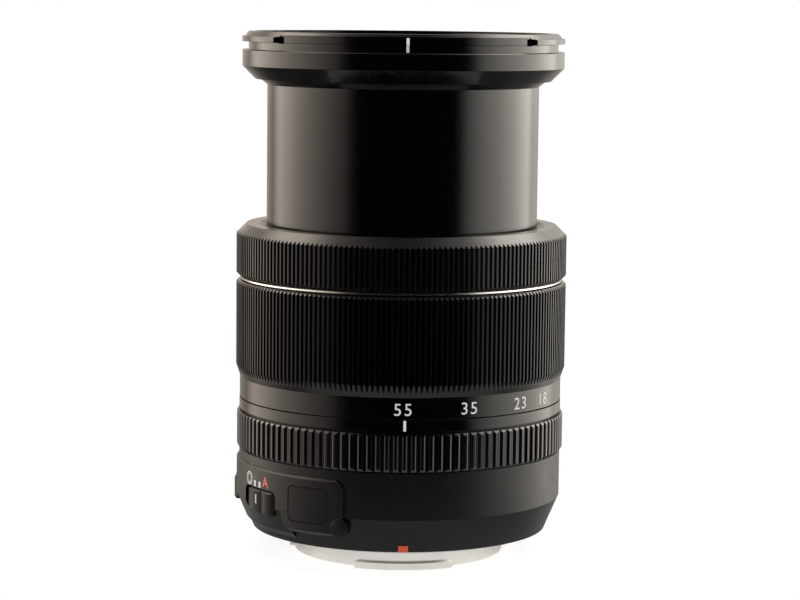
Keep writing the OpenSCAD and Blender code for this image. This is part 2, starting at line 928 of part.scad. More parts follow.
module dust_seal() {
    color("#0c0c0c")
    tube(tube_r + run_gap, guide_in + seal_w - run_gap, seal_z, seal_z + seal_h);
}

module focus_clip() {
    low = focus_seat_r - clip_groove + clip_gap;
    color("gray")
    sector(low, low + clip_ring_w, clip_z + clip_gap, clip_z + clip_gap + clip_ring_t,
        180 + clip_open / 2, 540 - clip_open / 2);
}

module aperture_ring() {
    rise = 1.5 * ap_bevel;
    top = ap_z + ap_h;
    color("#19191b")
    difference() {
        intersection() {
            translate([0, 0, ap_z]) linear_extrude(ap_h) polygon(ribs(ap_r, ap_depth, ap_teeth, ap_rib));
            rotate_extrude()
                polygon([
                    [0, ap_z], [ap_r - ap_bevel, ap_z], [ap_r, ap_z + rise],
                    [ap_r, top - rise], [ap_r - ap_bevel, top], [0, top]
                ]);
        }
        tube(0, sleeve_r + run_gap, ap_z - over, top + over);
    }
}

module focus_ring() {
    groove_r = bore_r + clip_groove;
    groove_low = clip_z - clip_gap;
    groove_top = clip_z + clip_ring_t + 3 * clip_gap;
    mouth_z = focus_top - mouth_depth;
    color("#19191b")
    difference() {
        intersection() {
            translate([0, 0, focus_z]) linear_extrude(focus_h)
                polygon(ribs(grip_r, grip_depth, grip_teeth, grip_rib));
            rotate_extrude()
                polygon([
                    [0, focus_z], [grip_r - focus_foot, focus_z], [grip_r, focus_z + focus_foot],
                    [grip_r, focus_top - focus_slope], [grip_r - focus_slope, focus_top], [0, focus_top]
                ]);
        }
        // Bore on the guide barrel, groove for the clip and the chamfered mouth round the front tube
        rotate_extrude()
            polygon([
                [0, focus_z - over], [bore_r, focus_z - over], [bore_r, groove_low], [groove_r, groove_low],
                [groove_r, groove_top], [bore_r, groove_top], [bore_r, mouth_z],
                [guide_in + mouth_gap, mouth_z], [guide_in + mouth_w, focus_top + mouth_gap],
                [guide_in + mouth_w, focus_top + over],
                [0, focus_top + over]
            ]);
    }
}

module zoom_ring() {
    band_r = body_r - band_drop;
    color("#19191b")
    difference() {
        intersection() {
            translate([0, 0, zoom_z]) linear_extrude(zoom_top - zoom_z)
                polygon(ribs(grip_r, grip_depth, grip_teeth, grip_rib));
            rotate_extrude()
                polygon([
                    [0, zoom_z], [band_r, zoom_z], [band_r, grip_z], [grip_r, grip_z + zoom_slope],
                    [grip_r, zoom_top - zoom_bevel], [grip_r - zoom_bevel, zoom_top], [0, zoom_top]
                ]);
        }
        tube(0, bore_r, zoom_z - over, zoom_top + over);
        for (a = key_angles)
            radial(a, key_z, cam_out, bore_r + key_depth + key_gap) circle(key_r + run_gap);
    }
}

module cam_barrel() {
    color("dimgray")
    difference() {
        tube(cam_in, cam_out, cam_z, cam_top);
        for (a = front_angles) cam_cut(a, front_pin_z, travel);
        for (a = carriage_angles) cam_cut(a, carriage_pin_z, carriage_travel);
        for (a = key_angles) radial(a, key_z, cam_in - over, cam_out + over) circle(key_r + run_gap);
    }
}

module zoom_keys() {
    color("gray")
    for (a = key_angles) radial(a, key_z, cam_in + pin_gap, bore_r + key_depth) circle(key_r);
}

module front_tube() {
    notch_h = 2 * (carriage_pin_z - carriage_travel + travel - tube_z);
    color("#161617")
    difference() {
        union() {
            tube(tube_in, tube_r, tube_z, front_z);
            tube(tube_in, neck_r, tube_z, front_z + neck_h);
        }
        for (a = front_angles)
            radial(a, front_pin_z, tube_in - over, tube_r + over) circle(follower_r + run_gap);
        // Notches that let the carriage followers through when the lens is short
        for (a = carriage_angles)
            radial(a, tube_z, tube_in - over, tube_r + over) oblong(notch_h, slot_r + free_gap);
    }
}

module front_followers() {
    color("goldenrod")
    for (a = front_angles) radial(a, front_pin_z, tube_in, cam_out - pin_gap) circle(follower_r);
}

module front_ring() {
    seat_z = name_z + name_t;
    side_r = tab_r - rim_drop;
    color("#1b1b1d")
    difference() {
        rotate_extrude()
            polygon([
                [neck_r + run_gap, front_z], [tube_r, front_z], [lip_r, front_z + chamfer_h],
                [lip_r + lip_step, front_z + chamfer_h], [side_r, cone_top_z],
                [side_r, hood_groove_z - rim_bevel],
                [tab_r - rim_inset, hood_groove_z], [hood_r, hood_groove_z], [hood_r, tab_z],
                [tab_r, tab_z + tab_slope], [tab_r, tab_top], [hood_r + tab_lip, tab_top], [hood_r, rim_z],
                [filter_r, rim_z], [filter_r, seat_z], [seat_r, seat_z], [seat_r, cell_top],
                [tube_in, cell_top],
                [tube_in, front_z + neck_h], [neck_r + run_gap, front_z + neck_h]
            ]);
        // The hood slides in where the tabs stop short, ahead and behind
        for (a = [0, 180]) {
            sector(hood_r + entry_depth, tab_r + over, tab_z - over / 2, tab_top + over,
                a + slot_angles[0], a + slot_angles[1]);
            for (b = slot_angles)
                sector(hood_r - slot_depth, tab_r + over, tab_z - slot_margin, tab_top + slot_margin,
                    a + b - slot_half, a + b + slot_half);
        }
    }
}

module front_cell() {
    color("black")
    rotate_extrude()
        polygon([
            [front_glass_r + glass_gap, front_z - cell_tail], [tube_in - free_gap, front_z - cell_tail],
            [tube_in - free_gap, cell_top], [seat_r - free_gap, cell_top], [seat_r - free_gap, name_z],
            [name_dish_r, name_z], [front_glass_r + glass_gap, front_edge - glass_gap]
        ]);
}

// Point on the slope of the name ring, from its lip to its flat band
function name_slope(t) = [
    name_in + t * (name_flat_r - name_in),
    name_lip_z + name_step + t * (name_z + name_t - name_lip_z - name_step)
];

// Dished ring round the front glass, with light-trap ridges on its inner slope
module name_ring() {
    ridges = [
        for (i = [0 : 2 * ridge_count])
            name_slope(ridge_from + ridge_run * i / (2 * ridge_count)) - [0, i % 2 * ridge_depth]
    ];
    color("#141416")
    rotate_extrude()
        polygon(concat(
            [[name_in, name_lip_z], name_slope(0)], ridges, [name_slope(1)],
            [[seat_r - seat_gap, name_z + name_t], [seat_r - seat_gap, name_z], [name_dish_r, name_z]]
        ));
}

module lens_front() {
    vertex_z = front_edge + sag(front_curve, front_glass_r);
    back_z = front_edge - front_glass_t;
    inner_z = back_z - bond_gap;
    color("lightblue") {
        element(back_z, vertex_z, front_glass_r, -bond_curve, front_curve);
        element(inner_z - inner_glass_t, inner_z, front_glass_r, -inner_curve, bond_curve);
    }
}

module carriage() {
    color("#222224")
    difference() {
        union() {
            tube(car_in, car_out, car_z, car_top);
            tube(ledge_in, car_out, ledge_z, deck_z);
        }
        for (a = carriage_angles)
            radial(a, carriage_pin_z, car_in - over, car_out + over) circle(follower_r + run_gap);
    }
}

module carriage_followers() {
    color("goldenrod")
    for (a = carriage_angles) radial(a, carriage_pin_z, car_in, cam_out - pin_gap) circle(follower_r);
}

module end_plate() {
    color("#222224")
    tube(plate_in, car_out, plate_z, car_z);
}

module variator_cell() {
    top = car_top + variator_flange;
    color("black")
    union() {
        tube(variator_r, variator_r + variator_wall, cover_z + cover_t + variator_gap, top);
        tube(variator_r, car_out, car_top, top);
    }
}

module lens_variator_a() {
    z = car_top + variator_a_z;
    color("lightblue")
    element(z, z + variator_a_t, variator_r - glass_gap, variator_a_curves[0], variator_a_curves[1]);
}

module lens_variator_b() {
    z = car_top + variator_b_z;
    low = z - variator_c_gap;
    r = variator_r - glass_gap;
    color("lightblue") {
        element(z, z + variator_b_t, r, variator_b_curves[0], variator_b_curves[1]);
        element(low - variator_c_t, low, r, variator_c_curves[0], variator_c_curves[1]);
    }
}

module lens_relay() {
    color("lightblue")
    element(ledge_z + relay_lap, deck_z + relay_rise, ledge_in - glass_gap, relay_curves[0], relay_curves[1]);
}

module stabiliser_base() {
    color("#2c2c2e")
    union() {
        tube(deck_in, unit_r, deck_z, deck_z + deck_t);
        for (a = [0, 180])
            at(a) translate([0, -guide_pin_circle, deck_z])
                cylinder(r = guide_pin_r, h = deck_t + move_gap + frame_t);
    }
}

module stabiliser_frame() {
    color("silver")
    difference() {
        tube(guide_pin_circle - frame_in_w, guide_pin_circle + frame_out_w, frame_z, frame_z + frame_t);
        // Slots along X at the base's pins and along Y at the cell's pins
        for (a = [0, 90, 180, 270])
            at(a) translate([0, -guide_pin_circle, frame_z - over]) linear_extrude(frame_t + 2 * over)
                rotate(90) oblong(2 * stab_shift + shift_play, guide_pin_r + run_gap);
    }
}

module stabiliser_cell() {
    color("#202022")
    union() {
        tube(stab_glass_r + glass_gap, stab_cell_r, stab_z, stab_z + stab_h);
        tube(stab_cell_r - over, guide_pin_circle + stab_plate_w, stab_z, stab_z + stab_plate_t);
        for (a = [90, 270])
            at(a) translate([0, -guide_pin_circle, frame_z])
                cylinder(r = guide_pin_r, h = frame_t + move_gap + stab_pin_lap);
    }
}

module stabiliser_magnets() {
    color("silver")
    for (a = magnet_angles)
        at(a) translate([-magnet[0] / 2, -guide_pin_circle - magnet_set, stab_z + stab_plate_t]) cube(magnet);
}

module stabiliser_coils() {
    color("peru")
    for (a = magnet_angles)
        at(a) translate([0, -guide_pin_circle - winding_set, housing_z - winding_t]) linear_extrude(winding_t)
            difference() {
                square(winding, center = true);
                square(winding_eye, center = true);
            }
}

module lens_stabiliser() {
    back = stab_z + stab_back_z;
    front = back + stab_back_t + stab_air;
    color("lightblue") {
        element(back, back + stab_back_t, stab_glass_r, stab_curve, -stab_curve);
        element(front, front + stab_front_t, stab_glass_r, stab_curve, stab_flat);
    }
}

module iris_housing() {
    pin_z = housing_z + housing_t / 2;
    color("#2c2c2e")
    union() {
        tube(unit_r - skirt_wall, unit_r, deck_z + deck_t, housing_z);
        tube(iris_open_r, unit_r, housing_z, housing_z + housing_t);
        tube(iris_ring_r + run_gap, unit_r, housing_z, cover_z);
        for (i = [0 : blade_count - 1])
            rotate([0, 0, i * 360 / blade_count]) translate([pivot_r, 0, pin_z])
                cylinder(r = pivot_pin_r, h = ring_z - pivot_top_gap - pin_z, $fn = 32);
    }
}

module iris_cover() {
    color("#2c2c2e")
    difference() {
        tube(iris_open_r, unit_r, cover_z, cover_z + cover_t);
        sector(iris_ring_r - tab_out - tab_t - tab_gap, iris_ring_r - tab_out + tab_gap, cover_z - over,
            cover_z + cover_t + over, tab_window[0], tab_window[1]);
    }
}

// The drive tab stands up through the cover into the actuator's air gap
module iris_ring() {
    tab_r_out = iris_ring_r - tab_out;
    color("gray")
    difference() {
        union() {
            tube(iris_ring_r - iris_ring_w, iris_ring_r, ring_z, ring_z + ring_t);
            sector(tab_r_out - tab_t, tab_r_out, ring_z, cover_z + cover_t + tab_h,
                tab_angles[0], tab_angles[1]);
        }
        for (i = [0 : blade_count - 1]) rotate([0, 0, i * 360 / blade_count]) drive_slot();
    }
}

// Place of a blade's drive pin in the ring's own frame after a share t of the swing
function drive_point(t) =
    let (
        x = pivot_r - drive_arm * sin(t * blade_swing),
        y = drive_arm * cos(t * blade_swing),
        a = -t * drive_turn
    )
    [x * cos(a) - y * sin(a), x * sin(a) + y * cos(a)];

module drive_slot() {
    p = drive_point(0);
    q = drive_point(1);
    d = q - p;
    translate([0, 0, ring_z - over]) linear_extrude(ring_t + 2 * over)
        translate((p + q) / 2) rotate(atan2(d[1], d[0]) - 90) oblong(norm(d), drive_pin_r + drive_slot_gap);
}

module iris_actuator() {
    low = cover_z + cover_t;
    color("sienna")
    sector(iris_ring_r - actuator_in, unit_r, low, low + actuator_h, actuator_angles[0], actuator_angles[1]);
}

module iris_blade(i) {
    z = blade_z + (i - 1) * blade_step;
    color("#101010")
    rotate([0, 0, (i - 1) * 360 / blade_count]) {
        translate([0, 0, z]) linear_extrude(blade_t)
            difference() {
                union() {
                    intersection() {
                        difference() {
                            circle(blade_out_r);
                            circle(iris_open_r + blade_lap);
                        }
                        polygon([[0, 0], [20, -1.2], [20, 20], [-3.6, 20]]);
                    }
                    translate([pivot_r, drive_arm / 2]) oblong(drive_arm, blade_ear);
                    translate([pivot_r - blade_root, -0.8 * blade_ear])
                        square([blade_root, drive_arm + blade_ear]);
                }
                translate([pivot_r, 0]) circle(pivot_pin_r + run_gap);
            }
        translate([pivot_r, drive_arm, z])
            cylinder(r = drive_pin_r, h = ring_z + ring_t - drive_pin_gap - z, $fn = 32);
    }
}

module guide_shafts() {
    color("silver")
    for (a = shaft_angles) at(a) translate([0, -shaft_circle, car_z]) cylinder(r = shaft_r, h = bay_h);
}

module focus_yoke() {
    depth = 2 * yoke_leg + yoke_slot;
    color("gray")
    at(180) difference() {
        translate([-yoke_w / 2, -yoke_out, car_z + yoke_foot]) cube([yoke_w, depth, bay_h - yoke_foot]);
        translate([-yoke_w / 2 - over, yoke_leg - yoke_out, car_z - over])
            cube([yoke_w + 2 * over, yoke_slot, bay_h + over - yoke_leg]);
    }
}

module focus_cell() {
    reach = shaft_circle - shaft_r - run_gap;
    color("#202022")
    difference() {
        union() {
            tube(focus_glass_r + glass_gap, focus_cell_r, focus_z0, focus_z0 + focus_t);
            for (a = shaft_angles) {
                at(a) translate([-arm_w / 2, -reach, focus_z0])
                    cube([arm_w, reach - focus_cell_r + arm_lap, arm_h]);
                at(a) translate([0, -shaft_circle, focus_z0]) cylinder(r = sleeve_lug_r, h = focus_t);
            }
            at(180) translate([-coil_w / 2, -coil_in, focus_z0])
                cube([coil_w, coil_in - focus_cell_r + arm_lap, arm_h]);
        }
        for (a = shaft_angles)
            at(a) translate([0, -shaft_circle, focus_z0 - over])
                cylinder(r = shaft_r + run_gap, h = focus_t + 2 * over);
        tube(0, focus_glass_r + glass_gap, focus_z0 - over, focus_z0 + focus_t + over);
    }
}

module focus_coil() {
    color("peru")
    at(180) translate([0, -leg_r, focus_z0]) linear_extrude(coil_h)
        difference() {
            translate([0, -coil_set]) square([coil_w, coil_t], center = true);
            square(coil_eye, center = true);
        }
}

module lens_focus() {
    z = focus_z0 + focus_glass_z;
    color("lightblue")
    element(z, z + focus_glass_t, focus_glass_r, focus_curves[0], focus_curves[1]);
}

mount_bayonet();
mount_screws();
frame_screws();
rear_baffle();
contact_block();
contact_pins();
rear_barrel();
index_mark();
badge_plate();
rear_cell();
lens_rear();
main_board();
guide_barrel();
index_ring();
accent_ring();
dust_seal();
focus_clip();
aperture_ring();
mode_switch();
stabiliser_switch();
focus_ring();
zoom_ring();
cam_barrel();
zoom_keys();
front_tube();
front_followers();
front_ring();
front_cell();
name_ring();
lens_front();
carriage();
carriage_followers();
end_plate();
variator_cell();
lens_variator_a();
lens_variator_b();
lens_relay();
stabiliser_base();
iris_housing();
iris_cover();
iris_actuator();
stabiliser_coils();
guide_shafts();
focus_yoke();
stabiliser_frame();
stabiliser_cell();
stabiliser_magnets();
lens_stabiliser();
focus_cell();
focus_coil();
lens_focus();
iris_ring();
for (i = [1 : blade_count])
    iris_blade(i);
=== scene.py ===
import math

import bmesh
import bpy
from mathutils import Matrix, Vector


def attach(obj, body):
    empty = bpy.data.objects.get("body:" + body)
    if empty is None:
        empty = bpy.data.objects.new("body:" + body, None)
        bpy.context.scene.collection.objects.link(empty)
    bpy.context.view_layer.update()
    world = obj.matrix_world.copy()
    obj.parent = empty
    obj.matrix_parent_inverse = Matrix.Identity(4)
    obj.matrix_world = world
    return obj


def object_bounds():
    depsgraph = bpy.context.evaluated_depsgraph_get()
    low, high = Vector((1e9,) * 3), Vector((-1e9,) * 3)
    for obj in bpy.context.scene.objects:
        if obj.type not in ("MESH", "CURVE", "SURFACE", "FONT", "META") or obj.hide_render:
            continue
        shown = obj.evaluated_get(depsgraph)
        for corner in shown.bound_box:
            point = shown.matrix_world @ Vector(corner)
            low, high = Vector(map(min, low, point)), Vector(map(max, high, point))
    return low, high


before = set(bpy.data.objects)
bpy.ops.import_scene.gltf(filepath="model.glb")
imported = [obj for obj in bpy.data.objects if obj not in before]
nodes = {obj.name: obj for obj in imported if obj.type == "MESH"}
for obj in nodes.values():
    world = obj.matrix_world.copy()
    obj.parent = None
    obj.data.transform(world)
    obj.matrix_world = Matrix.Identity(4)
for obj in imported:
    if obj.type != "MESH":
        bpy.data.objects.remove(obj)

MM = 0.001
WHITE = (1.0, 1.0, 1.0, 1.0)
cad_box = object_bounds()


# Shader nodes
def new_material(name):
    m = bpy.data.materials.new(name)
    m.use_nodes = True
    tree = m.node_tree
    tree.nodes.clear()
    out = tree.nodes.new("ShaderNodeOutputMaterial")
    shader = tree.nodes.new("ShaderNodeBsdfPrincipled")
    tree.links.new(shader.outputs[0], out.inputs[0])
    return m, tree, shader


def math_node(tree, operation, *values):
    n = tree.nodes.new("ShaderNodeMath")
    n.operation = operation
    for i, v in enumerate(values):
        if isinstance(v, (int, float)):
            n.inputs[i].default_value = v
        else:
            tree.links.new(v, n.inputs[i])
    return n.outputs[0]


def axes(tree, vector):
    n = tree.nodes.new("ShaderNodeSeparateXYZ")
    tree.links.new(vector, n.inputs[0])
    return n.outputs


def noise(tree, vector, scale, detail=2.0, rough=0.5):
    n = tree.nodes.new("ShaderNodeTexNoise")
    n.inputs["Scale"].default_value = scale
    n.inputs["Detail"].default_value = detail
    n.inputs["Roughness"].default_value = rough
    tree.links.new(vector, n.inputs["Vector"])
    return n.outputs["Fac"]


def ramp(tree, fac, stops):
    n = tree.nodes.new("ShaderNodeValToRGB")
    e = n.color_ramp.elements
    while len(e) < len(stops):
        e.new(1.0)
    for k, (pos, col) in zip(e, stops):
        k.position = pos
        k.color = (*col, 1.0)
    tree.links.new(fac, n.inputs[0])
    return n.outputs[0]


def map_range(tree, value, low, high, at_low, at_high):
    """Goes from at_low to at_high while the value goes from low to high, and no further"""
    n = tree.nodes.new("ShaderNodeMapRange")
    n.inputs["From Min"].default_value = low
    n.inputs["From Max"].default_value = high
    n.inputs["To Min"].default_value = at_low
    n.inputs["To Max"].default_value = at_high
    tree.links.new(value, n.inputs["Value"])
    return n.outputs[0]


def bump_node(tree, height, depth):
    n = tree.nodes.new("ShaderNodeBump")
    n.inputs["Strength"].default_value = 1.0
    n.inputs["Distance"].default_value = depth
    tree.links.new(height, n.inputs["Height"])
    return n


def mix_colors(tree, blend, a, b):
    n = tree.nodes.new("ShaderNodeMix")
    n.data_type = "RGBA"
    n.blend_type = blend
    n.inputs["Factor"].default_value = 1.0
    tree.links.new(a, n.inputs["A"])
    tree.links.new(b, n.inputs["B"])
    return n.outputs["Result"]


def background(tree, strength):
    n = tree.nodes.new("ShaderNodeBackground")
    n.inputs["Color"].default_value = WHITE
    n.inputs["Strength"].default_value = strength
    return n


def mix_shaders(tree, fac, a, b):
    n = tree.nodes.new("ShaderNodeMixShader")
    tree.links.new(fac, n.inputs[0])
    tree.links.new(a.outputs[0], n.inputs[1])
    tree.links.new(b.outputs[0], n.inputs[2])
    return n


def shade(c, k):
    return tuple(min(1.0, v * k) for v in c)


# Materials
NOISE_LOW, NOISE_HIGH = 0.3, 0.7  # noise stays near 0.5, and most of it lies between these
PLAIN_SPECULAR = 0.5
BEVEL_SAMPLES = 4


def finish(name, color, rough, vary=0.25, grain=9000.0, grain_depth=2e-6, lines=0.0, line_depth=1e-6,
           bevel=0.0, blotch=180.0, rough_vary=0.05, dull=(), **sockets):
    """Procedural finish: blotchy colour, uneven roughness, fine grain, turned lines round the axis at a
    pitch, soft edges, and bands between two heights that are duller, like rubber"""
    m, tree, shader = new_material(name)
    coord = tree.nodes.new("ShaderNodeTexCoord").outputs["Object"]
    patch = noise(tree, coord, blotch, 3.0)
    tint = ramp(tree, patch, [(NOISE_LOW, shade(color, 1.0 - vary)),
                              (NOISE_HIGH, shade(color, 1.0 + vary))])
    tree.links.new(tint, shader.inputs["Base Color"])
    smear = noise(tree, coord, blotch * 3.1, 4.0, 0.6)
    uneven = map_range(tree, smear, NOISE_LOW, NOISE_HIGH, rough - rough_vary, rough + rough_vary)
    tree.links.new(uneven, shader.inputs["Roughness"])
    fine = bump_node(tree, noise(tree, coord, grain), grain_depth)
    last = fine
    if lines:
        x, y, z = axes(tree, coord)
        radius = math_node(tree, "SQRT", math_node(tree, "ADD", math_node(tree, "MULTIPLY", x, x),
                                                   math_node(tree, "MULTIPLY", y, y)))
        along = math_node(tree, "ADD", radius, z)
        groove = math_node(tree, "SINE", math_node(tree, "MULTIPLY", along, 2 * math.pi / lines))
        last = bump_node(tree, groove, line_depth)
        tree.links.new(fine.outputs[0], last.inputs["Normal"])
    if bevel:
        soft = tree.nodes.new("ShaderNodeBevel")
        soft.samples = BEVEL_SAMPLES
        soft.inputs["Radius"].default_value = bevel
        tree.links.new(soft.outputs[0], fine.inputs["Normal"])
    tree.links.new(last.outputs[0], shader.inputs["Normal"])
    if dull:
        z = axes(tree, coord)[2]
        level = PLAIN_SPECULAR
        for low, high, drop in dull:
            inside = math_node(tree, "MULTIPLY", math_node(tree, "GREATER_THAN", z, low),
                               math_node(tree, "LESS_THAN", z, high))
            level = math_node(tree, "MULTIPLY_ADD", inside, -drop, level)
        tree.links.new(level, shader.inputs["Specular IOR Level"])
    for key, value in sockets.items():
        shader.inputs[key.replace("_", " ")].default_value = value
    return m


LATHE_PITCH = 0.16 * MM
WIRE_PITCH = 0.12 * MM
# Low end, high end and drop in specular level of the ribbed grips
ZOOM_GRIP = (33.0 * MM, 49.15 * MM, 0.3)
FOCUS_GRIP = (51.15 * MM, 58.7 * MM, 0.14)

black = finish("black_anodised", (0.0004, 0.0004, 0.0004), 0.13, grain=12000, grain_depth=0.5e-6,
               lines=LATHE_PITCH, line_depth=0.2e-6, bevel=0.1 * MM)
black_ring = finish("black_ring", (0.0004, 0.0004, 0.0004), 0.17, grain=12000, grain_depth=0.2e-6,
                    bevel=0.06 * MM, dull=(ZOOM_GRIP, FOCUS_GRIP))
black_rear = finish("black_rear", (0.0014, 0.0014, 0.0015), 0.38, grain_depth=1.5e-6, bevel=0.12 * MM,
                    Specular_IOR_Level=0.26)
moulded = finish("black_moulding", (0.002, 0.002, 0.0021), 0.4, grain=7000, grain_depth=1.5e-6,
                 bevel=0.08 * MM, Specular_IOR_Level=0.16)
inner = finish("inner_black", (0.006, 0.006, 0.0065), 0.6, grain=8000, grain_depth=4e-6)
badge = finish("badge_black", (0.0015, 0.0015, 0.0016), 0.36, grain=11000, grain_depth=1e-6,
               bevel=0.1 * MM, Specular_IOR_Level=0.22)
grey = finish("grey_anodised", (0.1, 0.1, 0.105), 0.4, lines=LATHE_PITCH, Metallic=0.6)
chrome = finish("mount_chrome", (0.94, 0.92, 0.88), 0.24, vary=0.04, grain_depth=0.3e-6,
                lines=LATHE_PITCH, line_depth=0.3e-6, bevel=0.06 * MM, rough_vary=0.03, Metallic=0.8)
bright = finish("accent_silver", (0.76, 0.75, 0.73), 0.2, vary=0.04, lines=LATHE_PITCH, bevel=0.05 * MM,
                Metallic=1.0)
steel = finish("steel", (0.5, 0.5, 0.51), 0.3, vary=0.08, bevel=0.05 * MM, Metallic=1.0)
blades = finish("blade_black", (0.015, 0.015, 0.015), 0.5, grain_depth=1e-6)
brass = finish("brass", (0.72, 0.5, 0.19), 0.25, vary=0.08, Metallic=1.0)
copper = finish("copper", (0.6, 0.24, 0.1), 0.35, vary=0.12, lines=WIRE_PITCH, line_depth=8e-6,
                Metallic=0.8)
orange = finish("index_orange", (0.78, 0.11, 0.035), 0.32, vary=0.08, grain_depth=1e-6)
green = finish("board_green", (0.012, 0.09, 0.03), 0.35, vary=0.35, blotch=900)
felt = finish("felt", (0.008, 0.008, 0.008), 0.9, vary=0.5, grain=5000, grain_depth=3e-5, Sheen_Weight=0.3)
white = finish("white_paint", (0.8, 0.8, 0.78), 0.45, vary=0.06)
# The low index and the tint stand for the coating, which keeps reflections weak
glass = finish("coated_glass", (0.98, 0.99, 0.985), 0.01, vary=0.01, grain=60, grain_depth=2e-9,
               rough_vary=0.005, Transmission_Weight=1.0, IOR=1.2, Specular_Tint=(0.2, 0.32, 0.3, 1.0))

FINISHES = {
    black: "front_tube front_ring index_ring",
    black_ring: "aperture_ring focus_ring zoom_ring",
    black_rear: "rear_barrel",
    moulded: "mode_switch stabiliser_switch contact_block rear_baffle",
    badge: "badge_plate",
    inner: "rear_cell front_cell name_ring variator_cell carriage end_plate stabiliser_base iris_housing "
           "iris_cover stabiliser_cell focus_cell",
    grey: "guide_barrel cam_barrel",
    chrome: "mount_bayonet",
    bright: "accent_ring",
    steel: "mount_screws frame_screws focus_clip zoom_keys guide_shafts focus_yoke stabiliser_frame "
           "stabiliser_magnets iris_ring",
    blades: " ".join(f"iris_blade_{i}" for i in range(1, 8)),
    brass: "contact_pins front_followers carriage_followers",
    copper: "iris_actuator stabiliser_coils focus_coil",
    orange: "index_mark",
    green: "main_board",
    felt: "dust_seal",
    glass: "lens_rear lens_front lens_variator_a lens_variator_b lens_relay lens_stabiliser lens_focus",
}
for material, names in FINISHES.items():
    for n in names.split():
        nodes[n].data.materials.clear()
        nodes[n].data.materials.append(material)


# Tools for the markings
PAINT_SINK = 0.03 * MM
PAINT_RISE = 0.02 * MM
LETTER_RISE = 0.035 * MM
CAPITAL = 0.7  # height of a capital letter in a font of size 1
WRAP_STEP = 0.3 * MM
CORNER = 0.08 * MM
CORNER_STEPS = 4


def link(name, mesh, material, body):
    o = bpy.data.objects.new(name, mesh)
    bpy.context.scene.collection.objects.link(o)
    mesh.materials.clear()
    mesh.materials.append(material)
    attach(o, body)


def link_solid(name, bm, material, body):
    mesh = bpy.data.meshes.new(name)
    bm.to_mesh(mesh)
    bm.free()
    link(name, mesh, material, body)


def wrap(bm, radius, azimuth, z):
    """Bends a flat solid in the XY plane round the lens axis: x runs round, y runs up, z runs outwards"""
    xs = [v.co.x for v in bm.verts]
    x = math.floor(min(xs) / WRAP_STEP) * WRAP_STEP
    while x < max(xs):
        bmesh.ops.bisect_plane(bm, geom=bm.verts[:] + bm.edges[:] + bm.faces[:], plane_co=(x, 0, 0),
                               plane_no=(1, 0, 0), dist=1e-8)
        x += WRAP_STEP
    for v in bm.verts:
        a = math.radians(azimuth) + v.co.x / radius
        r = radius + v.co.z
        v.co = (r * math.sin(a), -r * math.cos(a), z + v.co.y)


def lettering(name, text, height, radius, azimuth, z, material, body, bolder=0.0, spacing=1.0):
    """Raised painted characters, centred at an azimuth and a height"""
    curve = bpy.data.curves.new(name, "FONT")
    curve.body = text
    curve.align_x = "CENTER"
    curve.align_y = "CENTER"
    curve.size = height / CAPITAL
    curve.extrude = LETTER_RISE
    curve.offset = bolder
    curve.space_character = spacing
    curve.resolution_u = 6
    probe = bpy.data.objects.new(name, curve)
    bpy.context.scene.collection.objects.link(probe)
    bpy.context.view_layer.update()
    mesh = bpy.data.meshes.new_from_object(probe.evaluated_get(bpy.context.evaluated_depsgraph_get()))
    bpy.data.objects.remove(probe)
    bpy.data.curves.remove(curve)
    bm = bmesh.new()
    bm.from_mesh(mesh)
    bmesh.ops.remove_doubles(bm, verts=bm.verts, dist=1e-7)
    wrap(bm, radius, azimuth, z)
    bm.to_mesh(mesh)
    bm.free()
    link(name, mesh, material, body)


def slab(bm, outline):
    """Adds a flat patch of paint with the given outline"""
    low = [bm.verts.new((x, y, -PAINT_SINK)) for x, y in outline]
    top = [bm.verts.new((x, y, PAINT_RISE)) for x, y in outline]
    bm.faces.new(top)
    bm.faces.new(low[::-1])
    for i in range(len(outline)):
        j = (i + 1) % len(outline)
        bm.faces.new((low[i], low[j], top[j], top[i]))


def polar(r, degrees):
    return r * math.cos(math.radians(degrees)), r * math.sin(math.radians(degrees))


def bar(name, width, height, radius, azimuth, z, material, body):
    """Painted stroke with rounded corners, bent round the axis"""
    outline = []
    for sx, sy, start in ((1, 1, 0), (-1, 1, 90), (-1, -1, 180), (1, -1, 270)):
        for k in range(CORNER_STEPS + 1):
            x, y = polar(CORNER, start + 90 / CORNER_STEPS * k)
            outline.append((sx * (width / 2 - CORNER) + x, sy * (height / 2 - CORNER) + y))
    bm = bmesh.new()
    slab(bm, outline)
    wrap(bm, radius, azimuth, z)
    link_solid(name, bm, material, body)


def iris_sign(name, size, radius, azimuth, z, material, body):
    """Painted sign for the iris: a ring with slanting strokes round a small opening"""
    strokes = 6
    arc_steps = 6
    ring_inside, stroke_outside, stroke_inside = 0.78 * size, 0.74 * size, 0.42 * size
    gap, outside_width, inside_half_width = 2, 16, 12  # degrees
    step = 360 / strokes
    bm = bmesh.new()
    for k in range(strokes):
        a = k * step
        # A piece of the ring, a hair short of its neighbours, and one stroke that leans inwards from it
        arc = [a + gap + (step - 2 * gap) * t / arc_steps for t in range(arc_steps + 1)]
        slab(bm, [polar(size, b) for b in arc] + [polar(ring_inside, b) for b in arc[::-1]])
        slab(bm, [polar(stroke_outside, a), polar(stroke_outside, a + outside_width),
                  polar(stroke_inside, a + step + inside_half_width),
                  polar(stroke_inside, a + step - inside_half_width)])
    wrap(bm, radius, azimuth, z)
    link_solid(name, bm, material, body)


